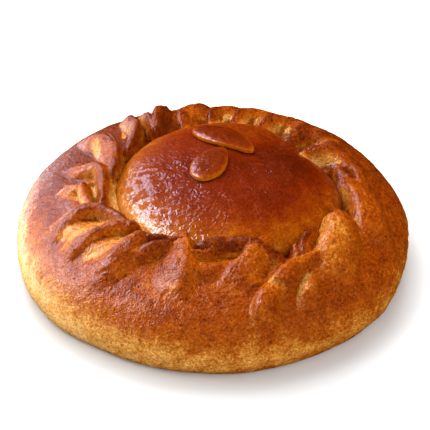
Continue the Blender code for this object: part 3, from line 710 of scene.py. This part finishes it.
def crust_browning_and_light(points, height, crust, shares):
    """How brown the crust is, 0 to 1: most on the shoulder and the crests, least low down. Light is
    painted paler on its left side and in the groove by the lid, and shade darker on its left
    shoulder, back and back left and in part of its hollows.
    """
    pale, dim, tone, cover, proud = shares
    radius = np.hypot(points[:, 0], points[:, 1])
    left = toward(points, *LEFT)
    back = np.clip(points[:, 1] / crust.radius, 0.0, 1.0)
    side = smooth_between(height / crust.shoulder_height, *SHOULDER_ZONE)
    outer = smooth_between(radius / crust.radius, *OUTER_ZONE)
    groove = 1.0 - smooth_between(radius, *GROOVE_ZONE)
    # Painted light and shade: left side, groove and left groove paler as light; left shoulder, back
    # and back left darker as shade
    places = {"all": 1.0, "shoulder": side, "right": toward(points, *RIGHT),
              "left shoulder": left * side, "left side": left * outer, "back": back,
              "back left": toward(points, *BACK_LEFT) * side, "groove": groove,
              "left groove": left * groove}
    brown = sum(CRUST_BROWNING_AND_LIGHT[place] * share for place, share in places.items())
    brown += (tone - brown) * cover + BROWN_PROUD * proud
    # Valleys: colour pulled towards one tone, partly painted shade in the hollows
    brown += (VALLEY_TONE - brown) * dim * VALLEY_SHARE
    brown += (POCKET_TONE - brown) * pale * (1.0 - POCKET_RIDGES * smooth_step(proud * RIDGE_SLOPE))
    # The foot is darker towards the bottom
    brown += BROWN_FOOT * np.exp(-(height / FOOT_BROWN_HEIGHT) ** 2)
    return np.clip(brown + layered(points, CRUST_MOTTLE), 0.0, 1.0)


# Lid and leaves


def lid_browning_and_light(points, lid):
    """How brown the lid is, most at its crown, with light painted paler on its left and a painted
    highlight on its lower left rim, and how far its glaze has dried dull.
    """
    x, y = points[:, 0], points[:, 1]
    share = np.hypot(x - LID_CENTRE[0], y - LID_CENTRE[1]) / lid.radius
    front = np.clip(-y / lid.radius, 0.0, 1.0)
    left = np.clip((LID_LEFT_FROM - x) / lid.radius, 0.0, 1.0)
    # Paler lower left rim: partly pooled glaze, partly a painted highlight; the left is painted
    # paler as light
    rim = smooth_step(LID_CORNER * left * front) * smooth_between(share, *LID_RIM_ZONE)
    places = {"all": 1.0, "edge": smooth_between(share, *LID_EDGE_ZONE), "rim": rim,
              "front": front ** LID_PALE_POWER, "left": left ** LID_PALE_POWER}
    brown = sum(LID_BROWNING_AND_LIGHT[place] * share for place, share in places.items())
    for spot_x, spot_y, spread, change in LID_PATCHES:
        brown += change * near_spot(x, y, spot_x, spot_y, spread)
    brown += layered(points, LID_MOTTLE)
    return brown, smooth_between(y, *DULL_BACK) * smooth_between(x, *DULL_LEFT)


def shape_lid(lid):
    """Rings of lid points from the crown down, how brown each is, with painted light on its left,
    and how dull its glaze.
    """
    shares = np.sin(np.linspace(0.0, math.pi / 2.0, LID_ROWS + 1)[1:])
    turn = np.linspace(0.0, 2.0 * math.pi, LID_STEPS, endpoint=False)
    outline = lid_outline(turn, lid.radius)
    reach = shares[:, None] * outline[None, :]
    x = LID_CENTRE[0] + reach * np.cos(turn)
    y = LID_CENTRE[1] + reach * np.sin(turn)
    top = np.stack([x, y, lid_top(x, y, lid)], axis=-1)
    fade = smooth_step((1.0 - np.repeat(shares, LID_STEPS)) / LID_SMOOTH_EDGE)
    relief = layered(top.reshape(-1, 3), LID_RELIEF) * MM * fade
    top = top + ring_normals(top) * relief.reshape(LID_ROWS, LID_STEPS, 1)
    lower = []
    for inset, height in LID_LOWER_RINGS:
        reach = outline - inset * MM
        lower.append(np.stack([LID_CENTRE[0] + reach * np.cos(turn),
                               LID_CENTRE[1] + reach * np.sin(turn),
                               np.full(LID_STEPS, height * MM)], axis=-1))
    rings = np.concatenate([top, np.array(lower)])
    brown, dull = lid_browning_and_light(rings.reshape(-1, 3), lid)
    return rings, brown.reshape(rings.shape[:2]), dull.reshape(rings.shape[:2])


def leaf_half_width(along):
    """Half the width of a leaf as a share, from one tip, 0, to the other, 1."""
    return np.sin(math.pi * along ** LEAF_TAPER) ** LEAF_FULLNESS


def shape_leaf(values, lid):
    """Rings of a puffed leaf round its middle, top first, and how brown each point is; its cut side
    is partly painted light.
    """
    centre_x, centre_y, turn, length, width, thickness = values
    turn = math.radians(turn)
    around = np.linspace(0.0, 2.0 * math.pi, LEAF_STEPS, endpoint=False)
    along = 0.5 - 0.5 * np.cos(around)
    edge_run = (along - 0.5) * length
    edge_side = np.sign(np.sin(around)) * leaf_half_width(along) * width / 2.0
    middle = LEAF_PEAK * length
    rows = [(share, 0.5 + 0.5 * math.sqrt(1.0 - share ** LEAF_PUFF),
             LEAF_BROWN - LEAF_PALE_EDGE * share ** LEAF_EDGE_POWER)
            for share in np.sin(np.linspace(0.0, math.pi / 2.0, LEAF_ROWS + 1)[1:])]
    rows += [(share, height, LEAF_SIDE_BROWN_AND_LIGHT) for share, height in LEAF_LOWER_RINGS]
    rings = []
    for share, height, _ in rows:
        run = middle + (edge_run - middle) * share
        side = edge_side * share
        x = (centre_x + run * math.cos(turn) - side * math.sin(turn)) * MM
        y = (centre_y + run * math.sin(turn) + side * math.cos(turn)) * MM
        z = lid_top(x, y, lid) + LEAF_GAP + height * thickness * MM
        rings.append(np.stack([x, y, z], axis=-1))
    rings = np.array(rings)
    grid = rings.shape[:2]
    points = rings.reshape(-1, 3)
    relief = layered(points, LEAF_RELIEF) * MM
    brown = np.array([brown for _, _, brown in rows])[:, None]
    brown = brown + layered(points, LEAF_MOTTLE).reshape(grid)
    rings = rings + ring_normals(rings) * relief.reshape(*grid, 1)
    return rings[:, ::-1], brown[:, ::-1]


# Materials


def set_inputs(tree, node, inputs):
    """Links inputs of a node to sockets, or sets their own values."""
    for socket, value in inputs.items():
        if isinstance(value, bpy.types.NodeSocket):
            tree.links.new(value, node.inputs[socket])
        else:
            node.inputs[socket].default_value = value


def add_node(tree, kind, inputs, **settings):
    """Adds a node with its inputs and settings."""
    node = tree.nodes.new(kind)
    for name, value in settings.items():
        setattr(node, name, value)
    set_inputs(tree, node, inputs)
    return node


def add_noise(tree, place, size, detail, **inputs):
    """Random pattern, round 0.5, that repeats about every size millimetres."""
    values = {"Vector": place, "Scale": 1.0 / (size * MM), "Detail": detail, **inputs}
    return add_node(tree, "ShaderNodeTexNoise", values).outputs["Fac"]


def add_range(tree, value, before, after):
    """Turns one range of a value into another and holds it at the ends."""
    values = dict(enumerate((value, *before, *after)))
    return add_node(tree, "ShaderNodeMapRange", values).outputs["Result"]


def add_sum(tree, operation, *values):
    """Result of a calculation with values or sockets."""
    return add_node(tree, "ShaderNodeMath", dict(enumerate(values)), operation=operation).outputs[0]


def set_ramp(ramp, stops):
    elements = ramp.color_ramp.elements
    while len(elements) < len(stops):
        elements.new(0.5)
    for element, (place, tint) in zip(elements, stops):
        element.position = place
        element.color = tint


def dough_colour(tree, place, stops, look):
    """Colour by browning, with light and shade painted into it in places, which is uneven in
    patches and specks, with flecks and dark pores.
    """
    brown = add_node(tree, "ShaderNodeAttribute", {}, attribute_name="bake").outputs["Fac"]
    size, patch_depth = look["patches"]
    patches = add_noise(tree, place, size, 3.0)
    size, speck_depth = look["specks"]
    specks = add_noise(tree, place, size, 3.0, Roughness=0.65)
    level = add_sum(tree, "MULTIPLY_ADD", patches, patch_depth, brown)
    level = add_sum(tree, "MULTIPLY_ADD", specks, -speck_depth, level)
    level = add_sum(tree, "SUBTRACT", level, 0.5 * (patch_depth - speck_depth))
    ramp = add_node(tree, "ShaderNodeValToRGB", {"Fac": level})
    set_ramp(ramp, stops)
    size, depth = look["flecks"]
    flecks = add_range(tree, add_noise(tree, place, size, 2.0), FLECK_RANGE,
                       (1.0 - depth, 1.0 + depth))
    size, depth = look["pores"]
    pores = add_range(tree, add_noise(tree, place, size, 1.0), PORE_RANGE, (1.0, 1.0 - depth))
    factor = add_sum(tree, "MULTIPLY", flecks, pores)
    return add_node(tree, "ShaderNodeVectorMath", {
        "Vector": ramp.outputs["Color"], "Scale": factor}, operation="SCALE").outputs["Vector"]


def dough_bump(tree, place, look):
    """Fine wrinkles of the skin with a finer grain over them."""
    size, depth = look["wrinkles"]
    wrinkles = add_noise(tree, place, size, 1.0, Distortion=0.6)
    bump = add_node(tree, "ShaderNodeBump", {
        "Height": wrinkles, "Distance": depth * MM, "Strength": 1.0})
    size, depth = look["grain"]
    return add_node(tree, "ShaderNodeBump", {
        "Height": add_noise(tree, place, size, 1.0), "Distance": depth * MM, "Strength": 1.0,
        "Normal": bump.outputs["Normal"]}).outputs["Normal"]


def add_glaze(tree, shader, sheen, bump, glaze):
    """Egg wash that stays shiny in patches and between them has sunk into the dough."""
    dull = add_node(tree, "ShaderNodeAttribute", {}, attribute_name="satin").outputs["Fac"]
    wash = add_range(tree, sheen, WASH_RANGE, (0.0, glaze))
    wash = add_sum(tree, "MULTIPLY", wash, add_sum(tree, "SUBTRACT", 1.0, dull))
    set_inputs(tree, shader, {
        "Coat Weight": wash, "Coat Normal": bump, "Coat Roughness": 0.1, "Coat IOR": 1.5})


def dough_material(name, stops, look):
    """Baked wheat dough: browned skin with wrinkles, a little light inside and a patchy sheen."""
    material = bpy.data.materials.new(name)
    material.use_nodes = True
    tree = material.node_tree
    shader = tree.nodes["Principled BSDF"]
    place = add_node(tree, "ShaderNodeTexCoord", {}).outputs["Object"]
    sheen = add_noise(tree, place, look["sheen"], 2.0)
    bump = dough_bump(tree, place, look)
    shiny, matt = look["gloss"]
    set_inputs(tree, shader, {
        "Base Color": dough_colour(tree, place, stops, look),
        "Roughness": add_range(tree, sheen, SHEEN_RANGE, (matt, shiny)),
        "Normal": bump, "IOR": 1.45, "Specular IOR Level": look["shine"],
        "Subsurface Weight": 0.15, "Subsurface Radius": (1.0, 0.45, 0.2),
        "Subsurface Scale": 2.5 * MM})
    if "glaze" in look:
        add_glaze(tree, shader, sheen, bump, look["glaze"])
    return material


def paper_material(tint):
    """Plain matt paper without any shine, for the floor."""
    material = bpy.data.materials.new("Matt white paper")
    material.use_nodes = True
    tree = material.node_tree
    set_inputs(tree, tree.nodes["Principled BSDF"], {
        "Base Color": tint, "Roughness": 0.9, "Specular IOR Level": 0.0})
    return material


# Settings


def length(name, words, default):
    return bpy.props.FloatProperty(name=name, description=words, default=default, unit="LENGTH",
                                   precision=4)


def colour(name, words, code):
    return bpy.props.FloatVectorProperty(name=name, description=words, subtype="COLOR", size=4,
                                         min=0.0, max=1.0, default=linear(code))


def power(name, words, default):
    return bpy.props.FloatProperty(name=name, description=words, default=default, min=0.0,
                                   unit="POWER")


class CrustSettings(bpy.types.PropertyGroup):
    """Sizes and colours of the crust."""

    radius: length("Radius", "Radius at the widest height", 0.128)
    belly_height: length("Belly height", "Height of the widest place", 0.017)
    foot_radius: length("Foot radius", "Radius where the side meets the table", 0.1215)
    shoulder_radius: length("Shoulder radius", "Where the side has become level", 0.082)
    shoulder_height: length("Shoulder height", "Height of the rim between folds", 0.0455)
    groove_height: length("Groove height", "Height of the dough beside the lid", 0.042)
    groove_width: length("Groove width", "Width of the sunken ring round the lid", 0.011)
    pale: colour("Pale dough", "Least browned dough", "#D8AC70")
    golden: colour("Golden crust", "Lightly browned side", "#C28B42")
    tan: colour("Tan crust", "Well browned crust", "#A25C0C")
    brown: colour("Brown crust", "Browned shoulder", "#924904")
    dark: colour("Dark crust", "Most browned crests", "#6E3003")


class LidSettings(bpy.types.PropertyGroup):
    """Sizes and colours of the lid."""

    radius: length("Radius", "Radius of the lid", 0.0738)
    crown: length("Crown height", "Height of the lid's top above the table", 0.063)
    pale: colour("Pale glaze", "Glazed dough at the lid's left edge", "#C68C4A")
    amber: colour("Amber glaze", "Glazed dough at the lid's edge", "#A5640E")
    orange: colour("Orange glaze", "Glazed dough half way up", "#8A4302")
    russet: colour("Russet glaze", "Browned glaze near the crown", "#742B02")
    dark: colour("Dark glaze", "Most browned glaze", "#602200")


class LeafSettings(bpy.types.PropertyGroup):
    """Colours of the leaves."""

    side: colour("Side", "Pale cut side of a leaf", "#C47A18")
    top: colour("Top", "Glazed top of a leaf", "#863C03")
    dark: colour("Dark top", "Most browned places", "#5C2001")


class StageSettings(bpy.types.PropertyGroup):
    """Floor and light."""

    floor: colour("Floor", "Plain pale floor", "#D6D7D8")
    sky: bpy.props.FloatProperty(name="Sky", description="Strength of the all-round light",
                                 default=0.45, min=0.0)
    back_window: power("Back window", "Reflected light from behind", 7.0)
    left_window: power("Left window", "Reflected light from the left", 25.0)
    key: power("Key", "Main light, from behind on the left", 11.5)
    top: power("Top", "High light from behind the pie", 9.2)
    fill: power("Fill", "Light from the front right", 7.4)
    bounce: power("Bounce", "Light off the floor on the left", 12.0)


# Operators


def place_piece(piece, material, node):
    """Gives a piece its material and puts it in place of its solid."""
    piece.data.materials.append(material)
    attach(piece, "root")
    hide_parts(node)


class PIE_OT_crust(bpy.types.Operator):
    """Makes the crust with its folded rim"""

    bl_idname = "pie.crust"
    bl_label = "Crust"

    def execute(self, context):
        crust, lid = context.scene.pie_crust, context.scene.pie_lid
        rings, bake = shape_crust(crust, lid)
        piece = grid_object("crust", rings, (0.0, 0.0, LID_UNDERSIDE + 2.0 * MM), (0.0, 0.0, 0.0))
        set_values(piece, "bake", bake)
        stops = ((0.0, crust.pale), (0.25, crust.golden), (0.5, crust.tan), (0.72, crust.brown),
                 (1.0, crust.dark))
        # Yeast dough baked without a tin: satin skin, mottled, rough to the touch
        material = dough_material("Baked yeast dough", stops, CRUST_LOOK)
        place_piece(piece, material, "base_crust")
        return {"FINISHED"}


class PIE_OT_lid(bpy.types.Operator):
    """Makes the domed, glazed lid"""

    bl_idname = "pie.lid"
    bl_label = "Lid"

    def execute(self, context):
        lid = context.scene.pie_lid
        rings, bake, dull = shape_lid(lid)
        peak = (*LID_CENTRE, float(lid_top(*LID_CENTRE, lid)))
        piece = grid_object("lid", rings, peak, (*LID_CENTRE, LID_UNDERSIDE))
        set_values(piece, "bake", bake)
        set_values(piece, "satin", dull)
        stops = ((0.0, lid.pale), (0.2, lid.amber), (0.42, lid.orange), (0.7, lid.russet),
                 (1.0, lid.dark))
        # Dough brushed with egg before baking: a patchy glossy skin over fine wrinkles
        material = dough_material("Egg-glazed dough", stops, LID_LOOK)
        place_piece(piece, material, "lid_crust")
        return {"FINISHED"}


class PIE_OT_leaves(bpy.types.Operator):
    """Makes the two dough leaves on the lid"""

    bl_idname = "pie.leaves"
    bl_label = "Leaves"

    def execute(self, context):
        leaf, lid = context.scene.pie_leaf, context.scene.pie_lid
        stops = ((0.15, leaf.side), (0.6, leaf.top), (1.0, leaf.dark))
        # Cut-out dough with a heavy coat of egg: dark, shiny top and a paler cut side
        material = dough_material("Dark egg-glazed dough", stops, LEAF_LOOK)
        for name, values in LEAVES.items():
            rings, bake = shape_leaf(values, lid)
            piece = grid_object(name + "_dough", rings, rings[0].mean(axis=0),
                                rings[-1].mean(axis=0))
            set_values(piece, "bake", bake)
            place_piece(piece, material, name)
        return {"FINISHED"}


def on_sphere(azimuth, elevation):
    """A lamp's place, from its direction as seen from the pie."""
    turn, tilt = math.radians(azimuth), math.radians(elevation)
    return LAMP_DISTANCE * Vector((math.cos(turn) * math.cos(tilt),
                                   math.sin(turn) * math.cos(tilt), math.sin(tilt)))


def soft_light(name, place, aim, size, watts, tint):
    """A large lamp that faces a point."""
    light = bpy.data.lights.new(name, "AREA")
    light.shape = "RECTANGLE"
    light.size, light.size_y = size
    light.energy = watts
    light.color = linear(tint)[:3]
    lamp = bpy.data.objects.new(name, light)
    lamp.location = place
    lamp.rotation_euler = (Vector(aim) - Vector(place)).to_track_quat("-Z", "Y").to_euler()
    bpy.context.scene.collection.objects.link(lamp)
    return lamp


def pie_lights(table, stage):
    """The lamps of a table, turned towards the pie, as strong as the settings say."""
    return [soft_light(name, on_sphere(azimuth, elevation), LAMP_AIM, size, getattr(stage, name),
                       tint) for name, (azimuth, elevation, size, tint) in table.items()]


def add_floor(scene, tint):
    """Wide floor that the pie stands on."""
    mesh = bpy.data.meshes.new("floor")
    corners = [(-FLOOR_HALF, -FLOOR_HALF, 0), (FLOOR_HALF, -FLOOR_HALF, 0),
               (FLOOR_HALF, FLOOR_HALF, 0), (-FLOOR_HALF, FLOOR_HALF, 0)]
    mesh.from_pydata(corners, [], [(0, 1, 2, 3)])
    mesh.materials.append(paper_material(tint))
    floor = bpy.data.objects.new("floor", mesh)
    floor.visible_glossy = False
    scene.collection.objects.link(floor)


def add_sky(scene, strength):
    """Even white light from all round that the glaze doesn't reflect."""
    world = bpy.data.worlds.new("Soft studio")
    world.use_nodes = True
    tree = world.node_tree
    set_inputs(tree, tree.nodes["Background"], {
        "Color": (1.0, 1.0, 1.0, 1.0), "Strength": strength})
    world.cycles_visibility.glossy = False
    scene.world = world


def add_camera(scene):
    """Camera at the photograph's viewpoint."""
    camera = bpy.data.objects.new("camera", bpy.data.cameras.new("camera"))
    camera.data.sensor_width = 36.0
    camera.data.lens = VIEW_LENS
    away = Vector((0.0, -math.cos(VIEW_ELEVATION), math.sin(VIEW_ELEVATION)))
    camera.location = Vector(VIEW_TARGET) + away * VIEW_DISTANCE
    camera.rotation_euler = (math.pi / 2.0 - VIEW_ELEVATION, 0.0, 0.0)
    scene.collection.objects.link(camera)
    scene.camera = camera


class PIE_OT_stage(bpy.types.Operator):
    """Makes the floor, the light and the camera"""

    bl_idname = "pie.stage"
    bl_label = "Floor, light and camera"

    def execute(self, context):
        stage, scene = context.scene.pie_stage, context.scene
        add_floor(scene, stage.floor)
        add_sky(scene, stage.sky)
        for window in pie_lights(WINDOWS, stage):
            window.visible_diffuse = False
        for screen in pie_lights(SCREENS, stage):
            screen.visible_glossy = False
        above = (BOUNCE_PLACE[0], BOUNCE_PLACE[1], 1.0)
        bounce = soft_light("bounce", BOUNCE_PLACE, above, BOUNCE_SIZE, stage.bounce, BOUNCE_TINT)
        bounce.visible_camera = False
        add_camera(scene)
        scene.view_settings.view_transform = "Standard"
        scene.view_settings.look = "High Contrast"
        return {"FINISHED"}


class PIE_PT_pieces(bpy.types.Panel):
    """Lists the steps that build the pie"""

    bl_label = "Cabbage and mackerel pie"
    bl_idname = "PIE_PT_pieces"
    bl_space_type = "VIEW_3D"
    bl_region_type = "UI"
    bl_category = "Pie"

    def draw(self, context):
        for operator in OPERATORS:
            self.layout.operator(operator.bl_idname)
        for group in SETTINGS:
            settings = getattr(context.scene, group)
            box = self.layout.box()
            for name in settings.bl_rna.properties.keys():
                if name not in {"rna_type", "name"}:
                    box.prop(settings, name)


SETTINGS = {
    "pie_crust": CrustSettings,
    "pie_lid": LidSettings,
    "pie_leaf": LeafSettings,
    "pie_stage": StageSettings,
}
OPERATORS = (PIE_OT_crust, PIE_OT_lid, PIE_OT_leaves, PIE_OT_stage)


def register():
    for group, kind in SETTINGS.items():
        bpy.utils.register_class(kind)
        setattr(bpy.types.Scene, group, bpy.props.PointerProperty(type=kind))
    for operator in OPERATORS:
        bpy.utils.register_class(operator)
    bpy.utils.register_class(PIE_PT_pieces)


def unregister():
    bpy.utils.unregister_class(PIE_PT_pieces)
    for operator in OPERATORS:
        bpy.utils.unregister_class(operator)
    for group, kind in SETTINGS.items():
        delattr(bpy.types.Scene, group)
        bpy.utils.unregister_class(kind)


def main():
    register()
    bpy.ops.pie.crust()
    bpy.ops.pie.lid()
    bpy.ops.pie.leaves()
    bpy.ops.pie.stage()


if __name__ == "__main__":
    main()
